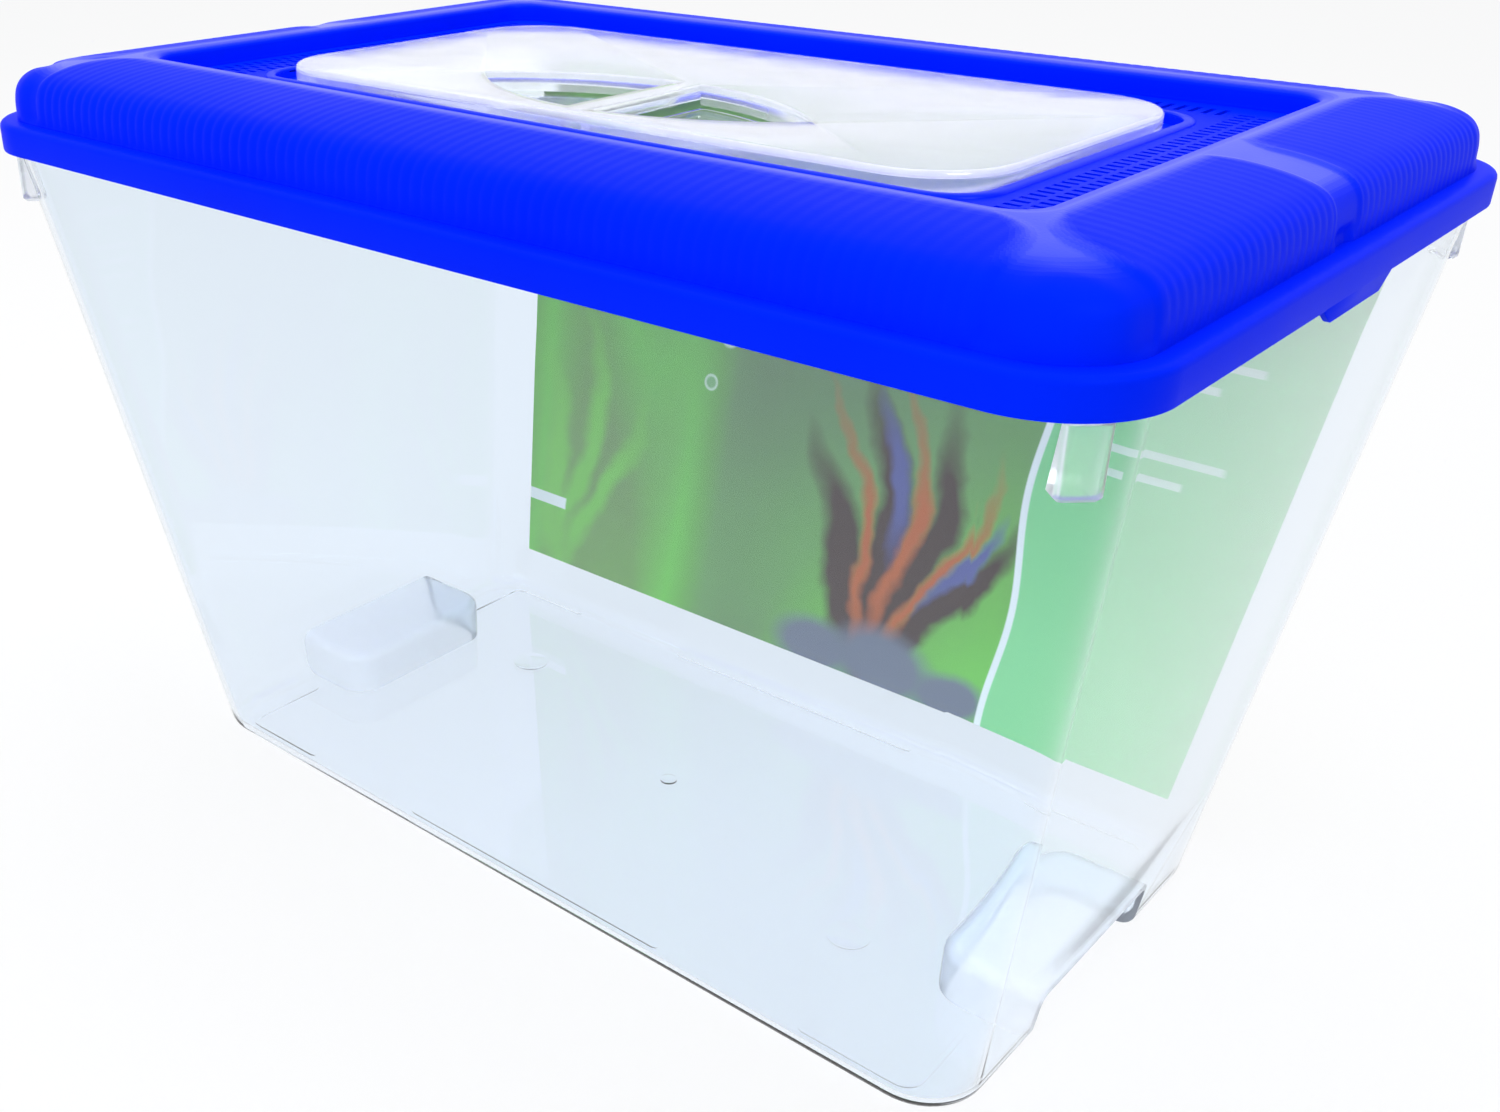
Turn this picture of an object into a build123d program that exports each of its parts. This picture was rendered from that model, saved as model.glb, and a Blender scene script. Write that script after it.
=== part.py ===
from build123d import *
import os

# Small tapered clear aquarium with a coloured ventilated lid, a hinged clear
# hatch in it and a printed background sheet. Millimetres, +Z up, floor at z = 0.

os.makedirs("parts", exist_ok=True)

# tank
wall = 2.0
floor_half_x = 159.5
floor_half_y = 82.5
slope_x = 0.1204
slope_y = 0.176
tank_height = 226.8
corner_low = 19.0
corner_high = 22.0
floor_edge = ((0.0, 4.5), (0.9, 2.4), (2.2, 1.0), (5.0, 0.0))

# finger recesses low in the short walls
recess_half = 34.0
recess_height = 17.0
recess_reach = 31.0
recess_corner = 9.0
recess_round = 2.5
recess_past = 10.0

# floor beads and corner lugs
bead_width = 1.6
bead_height = 0.9
bead_x = 145.0
bead_y = 74.8
bead_leg_x = 108.0
bead_leg_y = 42.0
bead_half_long = 55.0
lug_width = 10.0
lug_proud = 5.0
lug_deep = 11.0
lug_round = 2.0
lug_height = 16.4
lug_gap = 0.6
gate_r = 3.0

# lid
lid_half_x = 190.0
lid_half_y = 126.0
lid_corner = 24.0
skin = 2.2
skirt_over = 6.8
skirt_low = tank_height - skirt_over
skirt_round = 2.0
lug_low = skirt_low - lug_gap - lug_height
ledge_top = tank_height + skin
ledge_width = 5.5
border_rise = 18.0
crest = ledge_top + border_rise
border = 32.0
crest_corner = 10.0
ring_width = 3.5
deck_drop = 6.5
tab_half_top = 22.0
tab_half_low = 16.0
tab_drop = 4.0
seat_drop = 2.2
seat_thick = 1.8

# hatch and its opening
hatch_half_x = 122.0
hatch_half_y = 61.0
hatch_corner = 24.0
hatch_below = 2.5
hatch_top = crest - hatch_below
hatch_skin = 2.0
hatch_round = 1.2
opening_gap = 1.2
opening_corner = 12.0
seat_width = 7.0
rim_width = 3.0
rim_rise = 0.9

# hinge at the far edge of the hatch
hinge_back = 2.3
hinge_sink = 2.6
hinge_y = hatch_half_y + hinge_back
hinge_z = hatch_top - hinge_sink
knuckle_r = 1.8
knuckle_long = 8.0
knuckle_x = 40.0
pin_r = 1.0
pin_long = 3.0
pin_gap = 0.25
ear_r = 2.05
ear_thick = 2.6
ear_gap = 0.4
hinge_bay = 51.0
bay_deep = 6.4

# finger recess of the hatch, two lobes either side of a bar
grip_y = -27.5
grip_half_x = 58.0
grip_half_y = 24.0
grip_depth = 8.0
grip_bar = 4.5
grip_wall = 1.6

# vent slots
vent_pitch = 3.9
vent_width = 1.7
vent_long = 4.4
vent_land = 1.4
vent_end = 10.0

# printed sheet
sheet_thick = 0.5
sheet_low = 18.5
sheet_below_rim = 11.8
sheet_high = tank_height - sheet_below_rim
sheet_gap = 0.7
sheet_past_corner = 3.5


def half_x(z):
    return floor_half_x + slope_x * z


def half_y(z):
    return floor_half_y + slope_y * z


def corner(z):
    return corner_low + (corner_high - corner_low) * z / tank_height


deck_top = crest - deck_drop
seat_top = deck_top - seat_drop
deck_low = seat_top - seat_thick
well_x = lid_half_x - ledge_width - border - ring_width
well_y = lid_half_y - ledge_width - border - ring_width
well_corner = crest_corner

# tank: outer and inner skins drawn as stacks of rounded rectangles
with BuildPart() as tank_outer:
    for z, inset in floor_edge + ((tank_height, 0.0),):
        with BuildSketch(Plane.XY.offset(z)):
            RectangleRounded(2 * (half_x(z) - inset), 2 * (half_y(z) - inset), corner(z) - inset)
    loft(ruled=True)

with BuildPart() as tank_inner:
    for z, inset in floor_edge + ((tank_height, 0.0),):
        level = z + wall if z < tank_height else z + 1.0
        with BuildSketch(Plane.XY.offset(level)):
            RectangleRounded(2 * (half_x(level) - wall - inset), 2 * (half_y(level) - wall - inset),
                             corner(level) - wall - inset)
    loft(ruled=True)

with BuildPart() as recess_bulges:
    for side in (-1, 1):
        reach = recess_reach + wall + recess_past
        with BuildSketch(Plane.XY):
            with Locations((side * (floor_half_x + recess_past - reach / 2), 0)):
                RectangleRounded(reach, 2 * (recess_half + wall), recess_corner + wall)
        extrude(amount=recess_height + wall)
    fillet(recess_bulges.edges().group_by(Axis.Z)[-1], recess_round + 0.5)

with BuildPart() as recess_voids:
    for side in (-1, 1):
        reach = recess_reach + recess_past
        with BuildSketch(Plane.XY.offset(-1)):
            with Locations((side * (floor_half_x + recess_past - reach / 2), 0)):
                RectangleRounded(reach, 2 * recess_half, recess_corner)
        extrude(amount=recess_height + 1)
    fillet(recess_voids.edges().group_by(Axis.Z)[-1], recess_round)

with BuildPart() as lugs:
    for sx in (-1, 1):
        for sy in (-1, 1):
            cx = half_x(lug_low) - corner(lug_low)
            cy = half_y(lug_low) - corner(lug_low)
            along = Plane(origin=(sx * cx, sy * cy, lug_low), x_dir=(sx, sy, 0), z_dir=(0, 0, 1))
            with BuildSketch(along):
                with Locations((corner(lug_low) + lug_proud - lug_deep / 2, 0)):
                    RectangleRounded(lug_deep, lug_width, lug_round)
            extrude(amount=skirt_low - lug_gap - lug_low)

with BuildPart() as tank:
    add(tank_outer.part)
    add(tank_inner.part, mode=Mode.SUBTRACT)
    add(recess_bulges.part & tank_outer.part)
    add(lugs.part - tank_inner.part)
    add(recess_voids.part, mode=Mode.SUBTRACT)
    with BuildSketch(Plane.XY.offset(wall - 0.1)):
        for sy in (-1, 1):
            with Locations((0, sy * bead_y)):
                SlotOverall(2 * bead_half_long, bead_width)
            for sx in (-1, 1):
                with Locations((sx * (bead_x + bead_leg_x) / 2, sy * bead_y)):
                    Rectangle(bead_x - bead_leg_x, bead_width)
                with Locations((sx * bead_x, sy * (bead_y + bead_leg_y) / 2)):
                    Rectangle(bead_width, bead_y - bead_leg_y + bead_width)
        Circle(gate_r)
    extrude(amount=bead_height + 0.1)

tank.part.label = "tank"

# lid: skirt and ledge, then the cushion border as stacked insets
cushion = ((0.0, 0.0), (0.344, 0.008), (0.533, 0.031), (0.678, 0.081), (0.778, 0.162),
           (0.856, 0.297), (0.933, 0.531), (1.0, 1.0))


def cushion_loft(shrink, low, high):
    with BuildPart() as stack:
        for t, share in cushion:
            inset = ledge_width + shrink + border * share
            radius = lid_corner - ledge_width + (crest_corner - lid_corner + ledge_width) * share
            with BuildSketch(Plane.XY.offset(low + (high - low) * t)):
                RectangleRounded(2 * (lid_half_x - inset), 2 * (lid_half_y - inset), radius - shrink)
        loft(ruled=True)
    return stack.part


cushion_outer = cushion_loft(0.0, ledge_top, crest)
cushion_inner = cushion_loft(skin, ledge_top - skin, crest - skin)

with BuildPart() as lid_skirt:
    with BuildSketch(Plane.XY.offset(skirt_low)):
        RectangleRounded(2 * lid_half_x, 2 * lid_half_y, lid_corner)
    extrude(amount=ledge_top - skirt_low)
    fillet(lid_skirt.edges().group_by(Axis.Z)[-1], skirt_round)

with BuildPart() as skirt_void:
    with BuildSketch(Plane.XY.offset(skirt_low - 1)):
        RectangleRounded(2 * (lid_half_x - skin), 2 * (lid_half_y - skin), lid_corner - skin)
    extrude(amount=ledge_top - skin - skirt_low + 1)

with BuildPart() as deck_block:
    with BuildSketch(Plane.XY.offset(deck_low)):
        RectangleRounded(2 * (well_x + skin), 2 * (well_y + skin), well_corner + skin)
    extrude(amount=crest - deck_low)

with BuildPart() as tabs:
    for side in (-1, 1):
        face = Plane(origin=(side * (lid_half_x - skin), 0, 0), x_dir=(0, side, 0), z_dir=(side, 0, 0))
        with BuildSketch(face):
            with BuildLine():
                Polyline((-tab_half_top, skirt_low + 1), (-tab_half_top, skirt_low),
                         (-tab_half_low, skirt_low - tab_drop), (tab_half_low, skirt_low - tab_drop),
                         (tab_half_top, skirt_low), (tab_half_top, skirt_low + 1), close=True)
            make_face()
        extrude(amount=skin)

vent_step = vent_long + vent_land
vent_rows = int((well_y - vent_end) / vent_pitch)
opening_half_x = hatch_half_x + opening_gap
opening_half_y = hatch_half_y + opening_gap
short_strip = (opening_half_x + rim_width + well_x) / 2
long_strip = (opening_half_y + rim_width + well_y) / 2
vent_cols = int((short_strip - 1.5 * vent_step - 3) / vent_pitch)

with BuildPart() as vents:
    with BuildSketch(Plane.XY.offset(deck_low - 1)):
        spots = []
        for side in (-1, 1):
            for row in range(3):
                shift = 0.5 if row == 1 else 0.0
                for i in range(-vent_rows, vent_rows + (0 if row == 1 else 1)):
                    spots.append((side * (short_strip + (row - 1) * vent_step), (i + shift) * vent_pitch))
        with Locations(*spots):
            Rectangle(vent_long, vent_width)
        spots = []
        for i in range(-vent_cols, vent_cols + 1):
            x = i * vent_pitch
            spots.append((x, -long_strip))
            if abs(x) > hinge_bay + 2:
                spots.append((x, long_strip))
        with Locations(*spots):
            Rectangle(vent_width, 2 * vent_long)
    extrude(amount=deck_top + 2 - deck_low)

with BuildPart() as lid_opening:
    with BuildSketch(Plane.XY.offset(seat_top)):
        RectangleRounded(2 * opening_half_x, 2 * opening_half_y, opening_corner)
        with Locations((0, hinge_y)):
            Rectangle(2 * hinge_bay, bay_deep)
    extrude(amount=crest - seat_top)
    with BuildSketch(Plane.XY.offset(deck_low - 1)):
        RectangleRounded(2 * (opening_half_x - seat_width), 2 * (opening_half_y - seat_width),
                         opening_corner)
    extrude(amount=seat_top + 2 - deck_low)

with BuildPart() as lid:
    add(lid_skirt.part)
    add(cushion_outer)
    add(skirt_void.part, mode=Mode.SUBTRACT)
    add(cushion_inner - deck_block.part, mode=Mode.SUBTRACT)
    with BuildSketch(Plane.XY.offset(deck_top)):
        RectangleRounded(2 * well_x, 2 * well_y, well_corner)
    extrude(amount=deck_drop + 1, mode=Mode.SUBTRACT)
    with BuildSketch(Plane.XY.offset(deck_top - 0.1)):
        RectangleRounded(2 * (opening_half_x + rim_width), 2 * (opening_half_y + rim_width),
                         opening_corner + rim_width)
    extrude(amount=rim_rise + 0.1)
    add(tabs.part)
    add(lid_opening.part, mode=Mode.SUBTRACT)
    add(vents.part, mode=Mode.SUBTRACT)
    # ears that hold the hatch's pins, each on a foot that stands on the seat
    for side in (-1, 1):
        inner = side * (knuckle_x + knuckle_long / 2 + ear_gap)
        ear = Plane(origin=(inner, hinge_y, hinge_z), x_dir=(0, side, 0), z_dir=(side, 0, 0))
        with BuildSketch(ear):
            Circle(ear_r)
            with Locations((0, -(hinge_z - seat_top) / 2)):
                Rectangle(2 * ear_r, hinge_z - seat_top + 0.4)
            Circle(pin_r + pin_gap, mode=Mode.SUBTRACT)
        extrude(amount=ear_thick)

lid.part.label = "lid"

# hatch: plate, short skirt, two finger lobes and the hinge knuckles
lens_r = (grip_half_x ** 2 + grip_half_y ** 2) / (2 * grip_half_y)
lens_off = lens_r - grip_half_y

with BuildPart() as grip_outer:
    for side in (-1, 1):
        with BuildSketch(Plane.XY.offset(hatch_top - grip_depth)):
            with Locations((0, grip_y + lens_off)):
                Circle(lens_r)
            with Locations((0, grip_y - lens_off)):
                Circle(lens_r, mode=Mode.INTERSECT)
            with Locations((side * (grip_half_x / 2 + grip_bar), grip_y)):
                Rectangle(grip_half_x, 2 * grip_half_y, mode=Mode.INTERSECT)
        extrude(amount=grip_depth)

with BuildPart() as grip_void:
    for side in (-1, 1):
        with BuildSketch(Plane.XY.offset(hatch_top - grip_depth + grip_wall)):
            with Locations((0, grip_y + lens_off)):
                Circle(lens_r - grip_wall)
            with Locations((0, grip_y - lens_off)):
                Circle(lens_r - grip_wall, mode=Mode.INTERSECT)
            with Locations((side * (grip_half_x / 2 + grip_bar + grip_wall), grip_y)):
                Rectangle(grip_half_x, 2 * grip_half_y, mode=Mode.INTERSECT)
        extrude(amount=grip_depth)

with BuildPart() as hatch:
    with BuildSketch(Plane.XY.offset(seat_top + 0.2)):
        RectangleRounded(2 * hatch_half_x, 2 * hatch_half_y, hatch_corner)
    extrude(amount=hatch_top - seat_top - 0.2)
    fillet(hatch.edges().group_by(Axis.Z)[-1], hatch_round)
    with BuildSketch(Plane.XY.offset(seat_top)):
        RectangleRounded(2 * (hatch_half_x - hatch_skin), 2 * (hatch_half_y - hatch_skin),
                         hatch_corner - hatch_skin)
        with Locations((0, hatch_half_y)):
            Rectangle(2 * hinge_bay, 4 * hatch_skin)
    extrude(amount=hatch_top - hatch_skin - seat_top, mode=Mode.SUBTRACT)
    add(grip_outer.part)
    add(grip_void.part, mode=Mode.SUBTRACT)
    for side in (-1, 1):
        with BuildSketch(Plane.YZ.offset(side * knuckle_x - knuckle_long / 2)):
            with Locations((hinge_y, hinge_z)):
                Circle(knuckle_r)
            with Locations(((hinge_y + hatch_half_y - 2) / 2, (hinge_z + hatch_top - 2) / 2)):
                Rectangle(hinge_y - hatch_half_y + 2, hatch_top - hinge_z + 0.2)
        extrude(amount=knuckle_long)
        with BuildSketch(Plane.YZ.offset(side * (knuckle_x + knuckle_long / 2))):
            with Locations((hinge_y, hinge_z)):
                Circle(pin_r)
        extrude(amount=side * pin_long)

hatch.part.label = "hatch"

# printed sheet flat against the inside of the back wall
sheet_x_low = half_x(sheet_low) - corner(sheet_low) + sheet_past_corner
sheet_x_high = half_x(sheet_high) - corner(sheet_high) + sheet_past_corner


def back_inner(z):
    return half_y(z) - wall - sheet_gap


with BuildPart() as insert:
    with BuildSketch(Plane.YZ):
        with BuildLine():
            Polyline((back_inner(sheet_low), sheet_low), (back_inner(sheet_high), sheet_high),
                     (back_inner(sheet_high) - sheet_thick, sheet_high),
                     (back_inner(sheet_low) - sheet_thick, sheet_low), close=True)
        make_face()
    extrude(amount=200, both=True)
    with BuildSketch(Plane.XZ):
        with BuildLine():
            Polyline((-sheet_x_low, sheet_low - 1), (-sheet_x_high, sheet_high + 1),
                     (sheet_x_high, sheet_high + 1), (sheet_x_low, sheet_low - 1), close=True)
        make_face()
    extrude(amount=-400, mode=Mode.INTERSECT)

insert.part.label = "insert"

for piece in (tank, lid, hatch, insert):
    print(piece.part.label, "solids", len(piece.part.solids()), "volume", round(piece.part.volume, 1),
          piece.part.bounding_box())

export_step(tank.part, "parts/tank.step")
export_step(lid.part, "parts/lid.step")
export_step(hatch.part, "parts/hatch.step")
export_step(insert.part, "parts/insert.step")
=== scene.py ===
import math

import bpy
import bmesh
from mathutils import Matrix, Vector
from mathutils.geometry import delaunay_2d_cdt


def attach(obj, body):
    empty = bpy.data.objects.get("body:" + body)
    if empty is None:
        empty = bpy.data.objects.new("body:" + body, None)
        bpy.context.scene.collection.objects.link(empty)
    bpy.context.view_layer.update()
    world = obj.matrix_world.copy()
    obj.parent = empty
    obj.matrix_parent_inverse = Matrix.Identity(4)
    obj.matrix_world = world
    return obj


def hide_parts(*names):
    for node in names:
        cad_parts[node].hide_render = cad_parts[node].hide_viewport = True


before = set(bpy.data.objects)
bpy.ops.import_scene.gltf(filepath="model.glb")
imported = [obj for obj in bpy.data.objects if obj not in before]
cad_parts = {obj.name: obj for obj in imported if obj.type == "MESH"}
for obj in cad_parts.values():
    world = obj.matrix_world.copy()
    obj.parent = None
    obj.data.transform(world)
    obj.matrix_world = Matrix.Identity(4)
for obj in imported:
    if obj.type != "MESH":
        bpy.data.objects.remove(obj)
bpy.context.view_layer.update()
mm = 0.001

# sizes are in mm and follow the solids closely; lamps and camera are in metres


def smoothStep(a, b, v):
    t = min(1.0, max(0.0, (v - a) / (b - a)))
    return t * t * (3 - 2 * t)


def roundRect(hx, hy, r, arc=8):
    pts = []
    ax, ay = hx - r, hy - r
    for cx, cy, start in ((ax, ay, 0), (-ax, ay, 90), (-ax, -ay, 180), (ax, -ay, 270)):
        for k in range(arc + 1):
            a = math.radians(start + 90 * k / arc)
            pts.append((cx + r * math.cos(a), cy + r * math.sin(a)))
    return pts


def makeObject(name, verts, faces, sharp=35.0):
    mesh = bpy.data.meshes.new(name)
    mesh.from_pydata([(x * mm, y * mm, z * mm) for x, y, z in verts], [], faces)
    mesh.update()
    work = bmesh.new()
    work.from_mesh(mesh)
    bmesh.ops.recalc_face_normals(work, faces=work.faces)
    work.to_mesh(mesh)
    work.free()
    mesh.shade_smooth()
    mesh.set_sharp_from_angle(angle=math.radians(sharp))
    piece = bpy.data.objects.new(name, mesh)
    bpy.context.collection.objects.link(piece)
    return piece


def loftRings(rings, closed=False, caps=True):
    # rings of equal count become a tube; closed joins the last ring to the first
    verts, faces = [], []
    n = len(rings[0])
    for ring in rings:
        verts += ring
    count = len(rings)
    for i in range(count if closed else count - 1):
        a, b = i * n, ((i + 1) % count) * n
        for k in range(n):
            k2 = (k + 1) % n
            faces.append((a + k, a + k2, b + k2, b + k))
    if caps and not closed:
        faces.append(tuple(range(n))[::-1])
        faces.append(tuple(range((count - 1) * n, count * n)))
    return verts, faces


def insidePoly(pt, poly):
    x, y = pt
    hit = False
    for (x1, y1), (x2, y2) in zip(poly, poly[1:] + poly[:1]):
        if (y1 > y) != (y2 > y) and x < (x2 - x1) * (y - y1) / (y2 - y1) + x1:
            hit = not hit
    return hit


def fillFlat(outline, holes):
    # triangles of a flat plate with holes; points keep their order
    pts = list(outline)
    edges = [(i, (i + 1) % len(outline)) for i in range(len(outline))]
    for hole in holes:
        base = len(pts)
        pts += hole
        edges += [(base + i, base + (i + 1) % len(hole)) for i in range(len(hole))]
    out = delaunay_2d_cdt([Vector(p) for p in pts], edges, [], 0, 1e-5)
    boxes = [(min(p[0] for p in h), max(p[0] for p in h), min(p[1] for p in h), max(p[1] for p in h))
             for h in holes]
    keep = []
    for tri in out[2]:
        cx = sum(out[0][i][0] for i in tri) / 3
        cy = sum(out[0][i][1] for i in tri) / 3
        if not insidePoly((cx, cy), outline):
            continue
        drop = False
        for hole, (x0, x1, y0, y1) in zip(holes, boxes):
            if x0 <= cx <= x1 and y0 <= cy <= y1 and insidePoly((cx, cy), hole):
                drop = True
                break
        if not drop:
            keep.append(tuple(out[3][i][0] for i in tri))
    return keep


def plate(outline, holes, low, high):
    pts = list(outline)
    loops = [list(range(len(outline)))]
    for hole in holes:
        loops.append(list(range(len(pts), len(pts) + len(hole))))
        pts += hole
    n = len(pts)
    tris = fillFlat(outline, holes)
    verts = [(x, y, high) for x, y in pts] + [(x, y, low) for x, y in pts]
    faces = list(tris) + [tuple(i + n for i in reversed(t)) for t in tris]
    for loop in loops:
        for a, b in zip(loop, loop[1:] + loop[:1]):
            faces.append((a, b, b + n, a + n))
    return verts, faces


def joinParts(parts):
    verts, faces = [], []
    for v, f in parts:
        base = len(verts)
        verts += v
        faces += [tuple(i + base for i in face) for face in f]
    return verts, faces


def boolean(piece, other, operation):
    mod = piece.modifiers.new("cut", "BOOLEAN")
    mod.object = other
    mod.operation = operation
    mod.solver = "EXACT"
    graph = bpy.context.evaluated_depsgraph_get()
    mesh = bpy.data.meshes.new_from_object(piece.evaluated_get(graph))
    piece.modifiers.clear()
    piece.data = mesh
    bpy.data.objects.remove(other)


def tree(name):
    mat = bpy.data.materials.new(name)
    mat.use_nodes = True
    nodes = mat.node_tree.nodes
    return mat, nodes, mat.node_tree.links, nodes["Principled BSDF"]


def addNoise(nodes, links, scale, detail, coords):
    noise = nodes.new("ShaderNodeTexNoise")
    noise.inputs["Scale"].default_value = scale
    noise.inputs["Detail"].default_value = detail
    links.new(coords, noise.inputs["Vector"])
    return noise


def addRamp(nodes, links, source, stops):
    ramp = nodes.new("ShaderNodeValToRGB")
    while len(ramp.color_ramp.elements) < len(stops):
        ramp.color_ramp.elements.new(0.5)
    for element, (place, colour) in zip(ramp.color_ramp.elements, stops):
        element.position = place
        element.color = (*colour, 1)
    links.new(source, ramp.inputs["Fac"])
    return ramp


def addBump(nodes, links, source, strength, distance, shader):
    bump = nodes.new("ShaderNodeBump")
    bump.inputs["Strength"].default_value = strength
    bump.inputs["Distance"].default_value = distance
    links.new(source, bump.inputs["Height"])
    links.new(bump.outputs["Normal"], shader.inputs["Normal"])


def clearPlastic(name, look):
    mat, nodes, links, shader = tree(name)
    coords = nodes.new("ShaderNodeTexCoord").outputs["Object"]
    shader.inputs["Base Color"].default_value = (*look["tint"], 1)
    shader.inputs["Transmission Weight"].default_value = look["clear"]
    shader.inputs["IOR"].default_value = look["ior"]
    fine = addNoise(nodes, links, look["haze"], 3, coords)
    rough = addRamp(nodes, links, fine.outputs["Fac"],
                    ((0.35, (look["smooth"],) * 3), (0.75, (look["rough"],) * 3)))
    links.new(rough.outputs["Color"], shader.inputs["Roughness"])
    wave = addNoise(nodes, links, look["wave"], 2, coords)
    addBump(nodes, links, wave.outputs["Fac"], look["bump"], 0.001, shader)
    # lamps shine through it
    thin = nodes.new("ShaderNodeBsdfTransparent")
    thin.inputs["Color"].default_value = (*look["tint"], 1)
    path = nodes.new("ShaderNodeLightPath")
    mix = nodes.new("ShaderNodeMixShader")
    links.new(path.outputs["Is Shadow Ray"], mix.inputs[0])
    links.new(shader.outputs[0], mix.inputs[1])
    links.new(thin.outputs[0], mix.inputs[2])
    links.new(mix.outputs[0], nodes["Material Output"].inputs["Surface"])
    return mat


def lidPlastic(name, sheen, level, deep, lit, smooth):
    look = {"grain": 1400.0, "cloud": 14.0, "ior": 1.49, "spread": 0.08, "bump": 0.12, "bumpHigh": 0.0002}
    mat, nodes, links, shader = tree(name)
    coords = nodes.new("ShaderNodeTexCoord").outputs["Object"]
    cloud = addNoise(nodes, links, look["cloud"], 4, coords)
    tone = addRamp(nodes, links, cloud.outputs["Fac"], ((0.3, deep), (0.7, lit)))
    links.new(tone.outputs["Color"], shader.inputs["Base Color"])
    rough = addRamp(nodes, links, cloud.outputs["Fac"],
                    ((0.3, (smooth,) * 3), (0.7, (smooth + look["spread"],) * 3)))
    links.new(rough.outputs["Color"], shader.inputs["Roughness"])
    shader.inputs["Specular Tint"].default_value = (*sheen, 1)
    shader.inputs["Specular IOR Level"].default_value = level
    shader.inputs["IOR"].default_value = look["ior"]
    grain = addNoise(nodes, links, look["grain"], 2, coords)
    addBump(nodes, links, grain.outputs["Fac"], look["bump"], look["bumpHigh"], shader)
    return mat


# tank
tank = {"floorX": 159.5, "floorY": 82.5, "slopeX": 0.1204, "slopeY": 0.176, "height": 226.8,
        "cornerLow": 19.0, "cornerHigh": 22.0, "wall": 2.0, "edge": 5.0}
recess = {"x": 128.5, "half": 34.0, "high": 17.0, "corner": 9.0}
lug = {"low": 203.0, "shoulder": 218.6, "high": 219.3, "deep": 5.5, "half": 4.9, "proud": 4.9, "round": 2.0}
# the beads are wider and lower than the solids'
beads = {"x": 145.0, "y": 74.8, "legX": 108.0, "legY": 42.0, "bend": 5.0, "half": 55.0, "width": 2.2,
         "height": 0.32}


def halfX(z):
    return tank["floorX"] + tank["slopeX"] * z


def halfY(z):
    return tank["floorY"] + tank["slopeY"] * z


def cornerAt(z):
    return tank["cornerLow"] + (tank["cornerHigh"] - tank["cornerLow"]) * z / tank["height"]


def tankRings(shrink, lift, top):
    rings = []
    steps = 7
    for k in range(steps + 1):
        a = math.radians(90 * k / steps)
        z = lift + tank["edge"] * (1 - math.cos(a))
        inset = tank["edge"] * (1 - math.sin(a)) + shrink
        flat = roundRect(halfX(z) - inset, halfY(z) - inset, cornerAt(z) - inset, 12)
        rings.append([(x, y, z) for x, y in flat])
    for z in top:
        flat = roundRect(halfX(z) - shrink, halfY(z) - shrink, cornerAt(z) - shrink, 12)
        rings.append([(x, y, z) for x, y in flat])
    return rings


def roundedBox(x0, x1, halfWidth, corner, low, high, edge):
    rings = []
    cx, hx = (x0 + x1) / 2, abs(x1 - x0) / 2
    rings.append([(cx + x, y, low) for x, y in roundRect(hx, halfWidth, corner, 8)])
    for k in range(7):
        a = math.radians(90 * k / 6)
        inset = edge * (1 - math.cos(a))
        z = high - edge * (1 - math.sin(a))
        rings.append([(cx + x, y, z) for x, y in roundRect(hx - inset, halfWidth - inset, corner - inset, 8)])
    return loftRings(rings)


def beadRun(points, z):
    # a low rounded bead along a path on the floor, tapered at both ends
    rings = []
    count = len(points)
    for i, (x, y) in enumerate(points):
        a = points[max(0, i - 1)]
        b = points[min(count - 1, i + 1)]
        d = Vector((b[0] - a[0], b[1] - a[1])).normalized()
        size = 0.45 if i in (0, count - 1) else 1.0
        ring = []
        for k in range(10):
            t = 2 * math.pi * k / 10
            off = math.cos(t) * beads["width"] / 2 * size
            ring.append((x - d.y * off, y + d.x * off, z + math.sin(t) * beads["height"] * size))
        rings.append(ring)
    return loftRings(rings)


def cornerPath(sx, sy):
    pts = [(beads["legX"], beads["y"]), (beads["legX"] + 1.5, beads["y"])]
    for k in range(7):
        a = math.radians(90 - 90 * k / 6)
        pts.append((beads["x"] - beads["bend"] + beads["bend"] * math.cos(a),
                    beads["y"] - beads["bend"] + beads["bend"] * math.sin(a)))
    pts += [(beads["x"], beads["legY"] + 1.5), (beads["x"], beads["legY"])]
    return [(sx * x, sy * y) for x, y in pts]


def recessBlocks(grow, far, low, edge):
    # a rounded block at each end; grow is the wall left round the recess
    blocks = []
    for side in (-1, 1):
        blocks.append(roundedBox(side * (recess["x"] - grow), side * far, recess["half"] + grow,
                                 recess["corner"] + grow, low, recess["high"] + grow, edge))
    return blocks


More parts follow.
